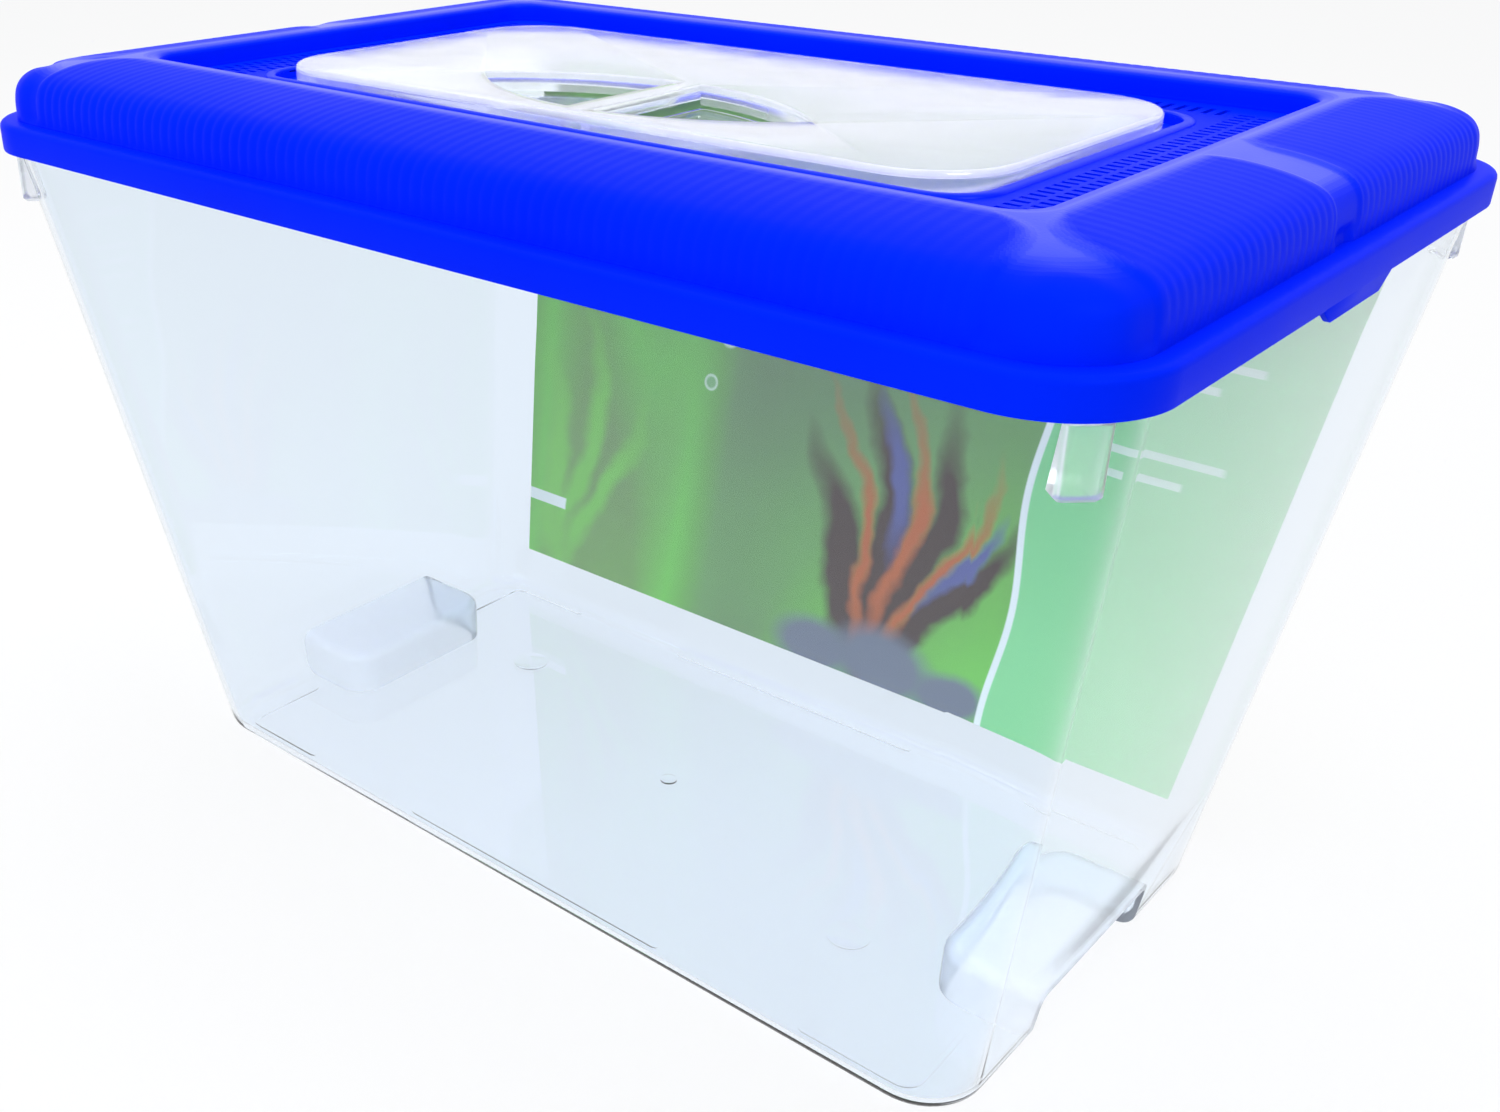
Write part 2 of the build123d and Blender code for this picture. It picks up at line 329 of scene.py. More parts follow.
def buildTank():
    top = tank["height"] - 0.1
    outer = makeObject("tankMoulding", *loftRings(tankRings(0.0, 0.0, (40, 90, 150, 200, top))))
    lugs = []
    for sx in (-1, 1):
        for sy in (-1, 1):
            z0 = lug["low"]
            cx, cy = halfX(z0) - cornerAt(z0), halfY(z0) - cornerAt(z0)
            reach = cornerAt(z0) + lug["proud"]
            turn = Matrix.Rotation(math.atan2(sy, sx), 2)
            rings = []
            for z, cut in ((z0, 0.9), (z0 + 0.9, 0.0), (lug["shoulder"], 0.0), (lug["high"], 0.7)):
                ring = []
                for x, y in roundRect(lug["deep"] - cut, lug["half"] - cut, lug["round"] - cut, 4):
                    p = turn @ Vector((reach - lug["deep"] + x, y))
                    ring.append((sx * cx + p.x, sy * cy + p.y, z))
                rings.append(ring)
            lugs.append(loftRings(rings))
    boolean(outer, makeObject("lugs", *joinParts(lugs)), "UNION")
    inner = makeObject("cavity", *loftRings(tankRings(tank["wall"], tank["wall"], (40, 90, 150, 200, 240))))
    bulges = recessBlocks(grow=tank["wall"], far=175.0, low=0.5, edge=4.5)
    boolean(inner, makeObject("bulges", *joinParts(bulges)), "DIFFERENCE")
    floorZ = tank["wall"]
    marks = [beadRun(cornerPath(sx, sy), floorZ) for sx in (-1, 1) for sy in (-1, 1)]
    half = beads["half"]
    for y in (-beads["y"], beads["y"]):
        marks.append(beadRun([(-half, y), (1.5 - half, y), (half - 1.5, y), (half, y)], floorZ))
    # the gate mark and two faint round marks
    for k, (x, y, r) in enumerate(((0, 0, 3.0), (-96, 30, 7.0), (96, -30, 7.0))):
        ringTop = floorZ + (0.7 if k == 0 else 0.25)
        rings = []
        for z, q in ((floorZ - 0.6, r), (ringTop - 0.15, r), (ringTop, r - 0.3)):
            rings.append([(x + q * math.cos(2 * math.pi * i / 40), y + q * math.sin(2 * math.pi * i / 40), z)
                          for i in range(40)])
        marks.append(loftRings(rings))
    boolean(inner, makeObject("beads", *joinParts(marks)), "DIFFERENCE")
    voids = recessBlocks(grow=0.0, far=190.0, low=-3.0, edge=3.0)
    boolean(outer, inner, "DIFFERENCE")
    boolean(outer, makeObject("voids", *joinParts(voids)), "DIFFERENCE")
    outer.data.shade_smooth()
    outer.data.set_sharp_from_angle(angle=math.radians(38))
    looks = {
        "clearPlastic": {"tint": (0.875, 0.925, 0.978), "clear": 1.0, "ior": 1.38, "haze": 20.0,
                         "smooth": 0.0, "rough": 0.0, "wave": 9.0, "bump": 0.008},
        "lugPlastic": {"tint": (0.93, 0.96, 1.0), "clear": 0.8, "ior": 1.3, "haze": 20.0,
                       "smooth": 0.25, "rough": 0.35, "wave": 9.0, "bump": 0.015},
        "footPlastic": {"tint": (0.93, 0.96, 1.0), "clear": 0.7, "ior": 1.3, "haze": 20.0,
                        "smooth": 0.12, "rough": 0.28, "wave": 9.0, "bump": 0.008},
    }
    outer.data.materials.clear()
    for name, look in looks.items():
        outer.data.materials.append(clearPlastic(name, look))
    for poly in outer.data.polygons:
        x, y, z = (v / mm for v in poly.center)
        corner = math.hypot(abs(x) - halfX(z) + cornerAt(z), abs(y) - halfY(z) + cornerAt(z))
        onLug = lug["low"] - 0.1 < z < lug["high"] + 0.2 and corner > cornerAt(z) + 0.3
        tall = max(outer.data.vertices[i].co.z for i in poly.vertices) / mm
        near = abs(x) > recess["x"] - 2.5 and abs(y) < recess["half"] + 3
        onFoot = near and tall < recess["high"] + 2.4 and abs(x) < halfX(z) - 0.3
        onLug = onLug and abs(x) > halfX(z) - tank["cornerHigh"] and abs(y) > halfY(z) - tank["cornerHigh"]
        poly.material_index = 1 if onLug else 2 if onFoot else 0
    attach(outer, "tank_body")
    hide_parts("tank")
    print("tank built", len(outer.data.vertices), "points")


# lid, its corner 2 mm rounder than the solids'
lid = {"x": 190.0, "y": 126.0, "corner": 26.0, "ledge": 5.5, "ledgeZ": 229.0, "crest": 247.0,
       "border": 32.0, "inner": 10.0, "wellX": 149.0, "wellY": 85.0, "skin": 2.2, "low": 220.0,
       "deck": 240.5, "seat": 238.3, "seatLow": 236.5}
opening = {"x": 123.2, "y": 62.2, "corner": 12.0, "bay": 51.0, "bayY": 66.5, "seat": 7.0, "rim": 3.0}
panel = {"longEnd": 159.0, "longBack": 25.0, "longTurn": 19.0, "shortEnd": 101.0, "shortBack": 31.0,
         "shortTurn": 24.0, "bandHalf": 7.0, "bandFlare": 8.0, "pitch": 3.9, "ribLong": 0.34,
         "ribShort": 0.2, "sunk": 0.42, "bandSunk": 0.6, "notch": 1.3}
# border profile as inset past the ledge and height over it
profile = ((0.0, 0.0), (0.256, 6.2), (0.99, 9.6), (2.59, 12.2), (5.18, 14.0), (9.5, 15.4), (17.0, 16.8),
           (32.0, 18.0))


def curvePoints(knots, each):
    # smooth curve through the knots, as (u, h, length so far)
    pts = [(2 * knots[0][0] - knots[1][0], 2 * knots[0][1] - knots[1][1])] + list(knots)
    pts.append((2 * knots[-1][0] - knots[-2][0], knots[-1][1] + 0.1))
    out = []
    for i in range(1, len(pts) - 2):
        a, b, c, d = (Vector(p) for p in pts[i - 1:i + 3])
        t1, t2, t3 = (math.sqrt((q - p).length) for p, q in ((a, b), (b, c), (c, d)))
        m1 = ((b - a) / t1 - (c - a) / (t1 + t2) + (c - b) / t2) * t2
        m2 = ((c - b) / t2 - (d - b) / (t2 + t3) + (d - c) / t3) * t2
        count = max(2, int((c - b).length / each))
        for k in range(count):
            t = k / count
            p = b * (2 * t ** 3 - 3 * t ** 2 + 1) + m1 * (t ** 3 - 2 * t ** 2 + t)
            p += c * (3 * t ** 2 - 2 * t ** 3) + m2 * (t ** 3 - t ** 2)
            out.append((p.x, p.y))
    out.append(knots[-1])
    total, full = 0.0, [(out[0][0], out[0][1], 0.0)]
    for a, b in zip(out, out[1:]):
        total += math.hypot(b[0] - a[0], b[1] - a[1])
        full.append((b[0], b[1], total))
    return full


def ringPoints(inset, z, radius):
    # one closed ring round the lid; the straight runs keep the same steps on every ring
    hx, hy = lid["x"] - inset, lid["y"] - inset
    runX, runY = 142.4, 78.2
    countX, countY, countC = 496, 272, 96
    pts = []
    quarter = []
    a, b = max(0.0, hy - radius - runY), max(0.0, hx - radius - runX)
    total = a + math.pi * radius / 2 + b
    for k in range(countC):
        d = total * k / countC
        if d < a:
            quarter.append((hx, runY + d))
        elif d < a + math.pi * radius / 2:
            t = (d - a) / radius
            quarter.append((hx - radius + radius * math.cos(t), hy - radius + radius * math.sin(t)))
        else:
            quarter.append((hx - radius - (d - a - math.pi * radius / 2), hy))
    back = [(x, y) for x, y in reversed(quarter)]
    for k in range(countY):
        pts.append((hx, -runY + 2 * runY * k / countY))
    pts += quarter
    for k in range(countX):
        pts.append((runX - 2 * runX * k / countX, hy))
    pts += [(-x, y) for x, y in [(runX, hy)] + back[:-1]]
    for k in range(countY):
        pts.append((-hx, runY - 2 * runY * k / countY))
    pts += [(-x, -y) for x, y in quarter]
    for k in range(countX):
        pts.append((-runX + 2 * runX * k / countX, -hy))
    pts += [(x, -y) for x, y in [(runX, hy)] + back[:-1]]
    return [(x, y, z) for x, y in pts]


def quarterBack(run, whole, back, turn):
    # how far a panel's end draws back as it nears the crest
    t = min(1.0, max(0.0, (run - (whole - turn)) / turn))
    return back * (1 - math.sqrt(max(0.0, 1 - t * t)))


def panelShape(x, y, run, whole):
    # pillow, ribs, notch, depth and shine at a place on the border
    p = panel
    gapLong = abs(x) - (p["longEnd"] - quarterBack(run, whole, p["longBack"], p["longTurn"]))
    gapShort = abs(y) - (p["shortEnd"] - quarterBack(run, whole, p["shortBack"], p["shortTurn"]))
    bandEdge = p["bandHalf"] + quarterBack(run, whole, p["bandFlare"], 11.0)
    onShort = abs(x) - lid["x"] > abs(y) - lid["y"]
    if onShort:
        gap = max(gapShort, bandEdge - abs(y))
        phase, rib = y, p["ribShort"]
    else:
        gap = gapLong
        phase, rib = x, p["ribLong"]
    gap = max(gap, run - (whole - 0.6))
    pillow = 1 - smoothStep(-2.4, 0.8, gap)
    ribs = rib * (1 - smoothStep(-2.6, -1.2, gap))
    # narrow deep grooves on the steep part, a soft wave on top
    top = smoothStep(9.0, 17.0, run)
    ridge = (0.5 + 0.5 * math.cos(2 * math.pi * phase / p["pitch"])) ** (0.55 + 0.45 * top)
    ribs *= 1 - 0.78 * top
    away = 1 - smoothStep(-6.0, 1.5, gap)
    depth, notch, shine = p["sunk"], 0.0, smoothStep(15.0, 25.0, run)
    if onShort and abs(y) < 40:
        depth, shine = p["bandSunk"], smoothStep(10.0, 20.0, run)
        notch = (1 - smoothStep(2.0, 5.5, run)) * (1 - smoothStep(3.0, 6.5, abs(y)))
    else:
        # low on the corner a groove at each panel's end, and the full round corner between them
        low = 1 - smoothStep(16.0, 24.0, run)
        level = smoothStep(2.5, 9.5, min(gapLong, gapShort)) * low
        depth *= (1 + 0.8 * low) * (1 - level)
    return pillow, ribs * smoothStep(0.0, 1.4, run), ridge, notch, depth, shine * (1 - away)


def lidRings():
    rings, gloss = [], []
    corner, ledgeR = lid["corner"], lid["corner"] - lid["ledge"]
    under = lid["ledgeZ"] - lid["skin"]
    well = lid["x"] - lid["wellX"]
    aside = 0.5

    def plain(inset, z, shine=0.0):
        if inset <= lid["ledge"]:
            radius = corner - inset
        else:
            share = min(1.0, (inset - lid["ledge"]) / lid["border"])
            radius = ledgeR + (lid["inner"] - ledgeR) * share
        ring = ringPoints(inset, z, radius)
        rings.append(ring)
        gloss.append([shine] * len(ring))

    low, top = lid["low"], lid["ledgeZ"]
    for inset, z in ((1.8, low), (0.6, low), (0.15, 220.15), (0.0, 220.6), (0.0, 224.0), (0.0, 227.0),
                     (0.15, 227.77), (0.59, 228.41), (1.23, 228.85), (2.0, top), (3.6, top), (4.9, top)):
        plain(inset, z)
    curve = curvePoints(profile, 0.75)
    whole = curve[-1][2]
    for k in range(len(curve)):
        u, h, run = curve[k]
        before, after = curve[max(0, k - 1)], curve[min(len(curve) - 1, k + 1)]
        du, dh = after[0] - before[0], after[1] - before[1]
        size = math.hypot(du, dh)
        nx, nz = -dh / size, du / size
        inset, z = lid["ledge"] + u, lid["ledgeZ"] + h
        radius = ledgeR + (lid["inner"] - ledgeR) * u / lid["border"]
        ring, shine = [], []
        fade = smoothStep(0.0, 3.0, run) * (1 - 0.65 * smoothStep(whole - 12.0, whole, run))
        ringFlat = ringPoints(inset, z, radius)
        offIn = ringPoints(inset + aside, z, radius - aside / 2)
        for (x, y, zz), (x2, y2) in zip(ringFlat, (p[:2] for p in offIn)):
            pillow, ribs, ridge, notch, depth, polish = panelShape(x, y, run, whole)
            lift = -depth * fade * (1 - pillow) - ribs * (1 - ridge) - panel["notch"] * notch
            move = nx * lift / aside
            ring.append((x + (x2 - x) * move, y + (y2 - y) * move, min(lid["crest"], zz + nz * lift)))
            shine.append(polish)
        rings.append(ring)
        gloss.append(shine)
    for inset, z in ((38.3, 246.66), (39.5, 246.6), (40.4, 246.3), (40.85, 245.8)):
        plain(inset, z, 0.6)
    for z in (245.1, 243.0, 240.4, lid["seat"]):
        plain(well, z)
    plain(38.8, lid["seat"])
    plain(38.8, 243.6)
    for u, h, _ in reversed(curvePoints(profile, 3.0)[:-1]):
        plain(lid["ledge"] + lid["skin"] + u * 0.97, under + h * 0.97)
    for inset, z in ((7.2, under), (2.3, under), (lid["skin"], under - 0.2), (lid["skin"], 221.0)):
        plain(inset, z)
    return rings, gloss


def slotSpots():
    vents = {"pitch": 3.9, "width": 1.7, "long": 4.4, "land": 1.4, "end": 10.0}
    shortMid = (opening["x"] + opening["rim"] + lid["wellX"]) / 2
    longMid = (opening["y"] + opening["rim"] + lid["wellY"]) / 2
    rows = int((lid["wellY"] - vents["end"]) / vents["pitch"])
    cols = int((shortMid - 1.5 * (vents["long"] + vents["land"]) - 3) / vents["pitch"])
    boxes = []
    for side in (-1, 1):
        for row in range(3):
            shift = 0.5 if row == 1 else 0.0
            for i in range(-rows, rows + (0 if row == 1 else 1)):
                x = side * (shortMid + (row - 1) * (vents["long"] + vents["land"]))
                boxes.append((x, (i + shift) * vents["pitch"], vents["long"] / 2, vents["width"] / 2))
    for i in range(-cols, cols + 1):
        x = i * vents["pitch"]
        boxes.append((x, -longMid, vents["width"] / 2, vents["long"]))
        if abs(x) > opening["bay"] + 2:
            boxes.append((x, longMid, vents["width"] / 2, vents["long"]))
    return [[(cx - a, cy - b), (cx + a, cy - b), (cx + a, cy + b), (cx - a, cy + b)]
            for cx, cy, a, b in boxes]


def openingOutline():
    o = opening
    pts = roundRect(o["x"], o["y"], o["corner"], 8)
    # the bay for the hinge breaks the far side
    first = [p for p in pts if p[0] > 0 and p[1] > 0]
    rest = pts[len(first):]
    bay = [(o["bay"], o["y"]), (o["bay"], o["bayY"]), (-o["bay"], o["bayY"]), (-o["bay"], o["y"])]
    return first + bay + rest


def sweepRim():
    o = opening
    rings = []
    for out, z in ((0.0, 240.1), (0.0, 241.0), (0.35, 241.3), (0.9, 241.4), (1.9, 241.4), (2.6, 241.2),
                   (3.0, 240.8), (3.1, 240.1)):
        rings.append([(x, y, z) for x, y in roundRect(o["x"] + out, o["y"] + out, o["corner"] + out, 10)])
    return loftRings(rings, closed=True)


def ear(side):
    ears = {"x": 44.4, "r": 2.05, "hole": 1.25, "thick": 2.6}
    pts = []
    y0, z0, r, hole = hatch["hingeY"], hatch["hingeZ"], ears["r"], ears["hole"]
    for k in range(13):
        a = math.radians(180 * k / 12)
        pts.append((y0 + r * math.cos(a), z0 + r * math.sin(a)))
    pts += [(y0 - r, lid["seat"] - 0.1), (y0 + r, lid["seat"] - 0.1)]
    bore = [(y0 + hole * math.cos(2 * math.pi * k / 16), z0 + hole * math.sin(2 * math.pi * k / 16))
            for k in range(16)]
    verts, faces = plate(pts, [bore], 0.0, ears["thick"])
    inner = side * ears["x"]
    return [(inner + side * c, a, b) for a, b, c in verts], faces


def tabPart(side):
    # the tab hangs below the skirt in the middle of each short side
    rings = []
    x1, x0 = lid["x"], lid["x"] - lid["skin"]
    for x, cut in ((x0, 0.35), (x0 + 0.4, 0.0), (x1 - 0.5, 0.0), (x1 - 0.05, 0.5)):
        half = [(15.4, 216.0 + cut), (16.6 - cut, 216.5 + cut), (22 - cut, lid["low"]), (22 - cut, 221.5)]
        rings.append([(side * x, y, z) for y, z in [(-y, z) for y, z in reversed(half)] + half])
    return loftRings(rings)


def buildLid():
    rings, gloss = lidRings()
    border = loftRings(rings, closed=True)
    o = opening
    tuck = 0.6
    deckOut = roundRect(lid["wellX"] + tuck, lid["wellY"] + tuck, lid["inner"] + tuck, 8)
    deck = plate(deckOut, [openingOutline()] + slotSpots(), lid["seat"], lid["deck"])
    seatOut = roundRect(o["x"] + 2.5, o["y"] + 5.5, o["corner"], 8)
    seatIn = roundRect(o["x"] - o["seat"], o["y"] - o["seat"], o["corner"], 8)
    seat = plate(seatOut, [seatIn], lid["seatLow"], lid["seat"])
    rim = makeObject("rim", *sweepRim())
    bayOut = [(-o["bay"], 55), (o["bay"], 55), (o["bay"], o["bayY"]), (-o["bay"], o["bayY"])]
    bay = makeObject("bay", *plate(bayOut, [], 237, 250))
    boolean(rim, bay, "DIFFERENCE")
    parts = [border, deck, seat, ear(-1), ear(1), tabPart(-1), tabPart(1)]
    piece = makeObject("lidMoulding", *joinParts(parts))
    n = len(rings[0])
    for i in range(len(rings)):
        low, high = gloss[i], gloss[(i + 1) % len(rings)]
        for k in range(n):
            share = (low[k] + low[(k + 1) % n] + high[k] + high[(k + 1) % n]) / 4
            piece.data.polygons[i * n + k].material_index = round(6 * share)
    for poly in rim.data.polygons:
        poly.material_index = 3
    work = bmesh.new()
    work.from_mesh(piece.data)
    work.from_mesh(rim.data)
    work.to_mesh(piece.data)
    work.free()
    bpy.data.objects.remove(rim)
    piece.data.shade_smooth()
    piece.data.set_sharp_from_angle(angle=math.radians(42))
    shine = [poly.material_index for poly in piece.data.polygons]
    piece.data.materials.clear()
    # matt panels to polished frames in seven steps; the polished steps also get a greener base colour, a
    # painted sheen
    for k in range(7):
        t = k / 6
        # the green rising with t is painted sheen on the polished top frames
        green = 0.015 + 0.006 * t
        sheen = (0.1 + 0.6 * t, 0.5 + 0.35 * t, 1.0)
        deep, lit = (0.0, green, 0.92), (0.0, green * 1.35, 0.97)
        mat = lidPlastic("lidPlastic" + str(k), sheen, 0.02 + 0.3 * t * t, deep, lit, 0.4 - 0.13 * t)
        piece.data.materials.append(mat)
    for poly, index in zip(piece.data.polygons, shine):
        poly.material_index = index
    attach(piece, "lid_body")
    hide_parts("lid")
    print("lid built", len(piece.data.vertices), "points")


# hatch
hatch = {"x": 122.0, "y": 61.0, "corner": 24.0, "top": 244.5, "low": 238.5, "gripY": -27.5, "gripX": 58.0,
         "gripH": 24.0, "bar": 4.5, "hingeY": 63.3, "hingeZ": 241.9, "knuckleR": 1.8, "pinR": 1.0}


def lensArc():
    # radius of the lens's two arcs and how far their centres lie from its long axis
    big = (hatch["gripX"] ** 2 + hatch["gripH"] ** 2) / (2 * hatch["gripH"])
    return big, big - hatch["gripH"]


def lensHalf(side, off):
    # outline of one finger lobe, moved inward by off
    big, drop = lensArc()
    r = big - off
    start = hatch["bar"] + off
    tip = math.sqrt(max(1.0, r * r - drop * drop))
    pts = []
    steps = 26
    for k in range(steps + 1):
        x = start + (tip - start) * (1 - (1 - k / steps) ** 1.3)
        pts.append((x, -(math.sqrt(max(0, r * r - x * x)) - drop)))
    for k in range(steps - 1, -1, -1):
        x = start + (tip - start) * (1 - (1 - k / steps) ** 1.3)
        pts.append((x, math.sqrt(max(0, r * r - x * x)) - drop))
    pts = [(side * x, y + hatch["gripY"]) for x, y in pts]
    return pts if side > 0 else pts[::-1]


def insideLens(x, off, grow):
    big, drop = lensArc()
    return math.hypot(x, abs(off) + drop) < big + grow and abs(x) > hatch["bar"] - 1.5


def hingeRod(side, x0, x1, r, steps):
    # a knuckle or a pin, on the hinge's axis
    rings = []
    for x in (x0, x1):
        rings.append([(side * x, hatch["hingeY"] + r * math.cos(2 * math.pi * k / steps),
                       hatch["hingeZ"] + r * math.sin(2 * math.pi * k / steps)) for k in range(steps)])
    return loftRings(rings)


def buildHatch():
    h = hatch
    verts, faces = [], []

    def addRing(pts, z):
        base = len(verts)
        verts.extend((x, y, z) for x, y in pts)
        return list(range(base, base + len(pts)))

    def bridge(a, b):
        n = len(a)
        for k in range(n):
            faces.append((a[k], a[(k + 1) % n], b[(k + 1) % n], b[k]))

    def outline(inset):
        return roundRect(h["x"] - inset, h["y"] - inset, h["corner"] - inset, 14)

    topEdge, topHoles = outline(1.4), [lensHalf(s, -1.2) for s in (-1, 1)]
    lowEdge, lowHoles = outline(2.4), [lensHalf(s, -2.6) for s in (-1, 1)]
    for edge, holes, z in ((topEdge, topHoles, h["top"]), (lowEdge, lowHoles, h["top"] - 2.0)):
        tris = fillFlat(edge, holes)
        base = len(verts)
        verts.extend((x, y, z) for x, y in edge + holes[0] + holes[1])
        faces.extend(tuple(base + i for i in t) for t in tris)
        if z == h["top"]:
            topBase = base
        else:
            lowBase = base
    nEdge, nHole = len(topEdge), len(topHoles[0])
    ring = list(range(topBase, topBase + nEdge))
    for inset, z in ((0.75, 244.38), (0.3, 244.05), (0.05, 243.55), (0.0, 243.0), (0.0, 238.9),
                     (0.25, 238.55), (1.1, h["low"]), (1.8, 238.55), (2.0, 238.9), (2.05, 241.8),
                     (2.15, 242.4)):
        nxt = addRing(outline(inset), z)
        bridge(ring, nxt)
        ring = nxt
    bridge(ring, list(range(lowBase, lowBase + nEdge)))
    for i, side in enumerate((-1, 1)):
        ring = list(range(topBase + nEdge + i * nHole, topBase + nEdge + (i + 1) * nHole))
        for off, z in ((-0.7, 244.4), (-0.25, 244.1), (0.0, 243.5), (0.25, 241.4), (0.7, 239.6), (1.5, 238.6),
                       (2.6, 238.15), (4.0, 238.1)):
            nxt = addRing(lensHalf(side, off), z)
            bridge(ring, nxt)
            ring = nxt
        faces.append(tuple(ring))
        ring = list(range(lowBase + nEdge + i * nHole, lowBase + nEdge + (i + 1) * nHole))
        for off, z in ((-2.0, 242.3), (-1.7, 241.7), (-1.4, 240.0), (-1.0, 238.4), (-0.2, 237.2),
                       (1.0, 236.65), (2.4, 236.5)):
            nxt = addRing(lensHalf(side, off), z)
            bridge(ring, nxt)
            ring = nxt
        faces.append(tuple(ring))
    parts = [(verts, faces)]
    for side in (-1, 1):
        parts.append(hingeRod(side, 36.0, 44.0, h["knuckleR"], 24))
        parts.append(hingeRod(side, 43.0, 47.0, h["pinR"], 16))
        arm = [(59.8, 241.2), (62.9, 240.9), (62.9, 243.3), (59.8, 243.6)]
        parts.append(loftRings([[(side * x, y, z) for y, z in arm] for x in (36.3, 43.7)]))
    piece = makeObject("hatchMoulding", *joinParts(parts), sharp=30.0)
    looks = {
        "hatchPlastic": {"tint": (0.91, 0.93, 1.0), "clear": 0.76, "ior": 1.49, "haze": 60.0,
                         "smooth": 0.10, "rough": 0.2, "wave": 14.0, "bump": 0.02},
        # darker, greener tint in the finger pockets: painted shade, as the plastic there is clear
        "pocketPaintedShade": {"tint": (0.89, 0.94, 0.92), "clear": 1.0, "ior": 1.3, "haze": 60.0,
                          "smooth": 0.02, "rough": 0.06, "wave": 14.0, "bump": 0.02},
    }
    for name, look in looks.items():
        piece.data.materials.append(clearPlastic(name, look))
    for poly in piece.data.polygons:
        x, y, z = (v / mm for v in poly.center)
        # faces in the finger pockets take the painted-shade tint
        if abs(y - h["gripY"]) < h["gripH"] + 2 and abs(x) < h["gripX"] + 2 and z < h["top"] - 0.5:
            off = y - h["gripY"]
            if insideLens(x, off, 1.0):
                poly.material_index = 1
    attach(piece, "hatch_body")
    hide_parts("hatch")
    print("hatch built", len(piece.data.vertices), "points")


# printed sheet
sheet = {"low": 18.5, "high": 215.0, "gap": 0.7, "thick": 0.5, "past": 3.4}


def remap(nodes, links, source, low, high):
    node = nodes.new("ShaderNodeMapRange")
    node.inputs["From Min"].default_value = low
    node.inputs["From Max"].default_value = high
    links.new(source, node.inputs["Value"])
    return node.outputs["Result"]


def mixColour(nodes, links, factor, first, second):
    mix = nodes.new("ShaderNodeMix")
    mix.data_type = "RGBA"
    links.new(factor, mix.inputs["Factor"])
    links.new(first, mix.inputs["A"])
    if isinstance(second, tuple):
        mix.inputs["B"].default_value = (*second, 1)
    else:
        links.new(second, mix.inputs["B"])
    return mix.outputs["Result"]


def addSpot(nodes, links, coords, under, spot, colour, soft, square=False):
    # one leaf, stone, bubble or bar: x, z, half sizes in mm and lean in degrees
    x, z, across, tall, lean = spot
    local = nodes.new("ShaderNodeMapping")
    local.vector_type = "TEXTURE"
    local.inputs["Location"].default_value = (x * mm, 0, z * mm)
    local.inputs["Rotation"].default_value = (0, math.radians(lean), 0)
    local.inputs["Scale"].default_value = (across * mm, 1000.0, tall * mm)
    links.new(coords, local.inputs["Vector"])
    if square:
        spread = nodes.new("ShaderNodeVectorMath")
        spread.operation = "ABSOLUTE"
        links.new(local.outputs["Vector"], spread.inputs[0])
        split = nodes.new("ShaderNodeSeparateXYZ")
        links.new(spread.outputs["Vector"], split.inputs["Vector"])
        far = nodes.new("ShaderNodeMath")
        far.operation = "MAXIMUM"
        links.new(split.outputs["X"], far.inputs[0])
        links.new(split.outputs["Z"], far.inputs[1])
        reach = far.outputs[0]
    else:
        far = nodes.new("ShaderNodeVectorMath")
        far.operation = "LENGTH"
        links.new(local.outputs["Vector"], far.inputs[0])
        reach = far.outputs["Value"]
    return mixColour(nodes, links, remap(nodes, links, reach, 1.0 + soft, 1.0 - soft), under, colour)


def bendCoords(nodes, links, coords, amount, turns, rag=0.0):
    # sideways sway with height and a ragged edge, so that leaves curve; also the sway alone
    split = nodes.new("ShaderNodeSeparateXYZ")
    links.new(coords, split.inputs["Vector"])
    turn = nodes.new("ShaderNodeMath")
    turn.operation = "MULTIPLY"
    turn.inputs[1].default_value = turns
    links.new(split.outputs["Z"], turn.inputs[0])
    wave = nodes.new("ShaderNodeMath")
    wave.operation = "SINE"
    links.new(turn.outputs[0], wave.inputs[0])
    sway = nodes.new("ShaderNodeMath")
    sway.operation = "MULTIPLY_ADD"
    sway.inputs[1].default_value = amount
    links.new(wave.outputs[0], sway.inputs[0])
    ragged = addNoise(nodes, links, 45.0, 3, coords)
    shake = nodes.new("ShaderNodeMath")
    shake.operation = "MULTIPLY_ADD"
    shake.inputs[1].default_value = rag
    links.new(ragged.outputs["Fac"], shake.inputs[0])
    links.new(split.outputs["X"], shake.inputs[2])
    links.new(shake.outputs[0], sway.inputs[2])
    back = nodes.new("ShaderNodeCombineXYZ")
    links.new(sway.outputs[0], back.inputs["X"])
    links.new(split.outputs["Y"], back.inputs["Y"])
    links.new(split.outputs["Z"], back.inputs["Z"])
    return back.outputs["Vector"], sway.outputs[0]


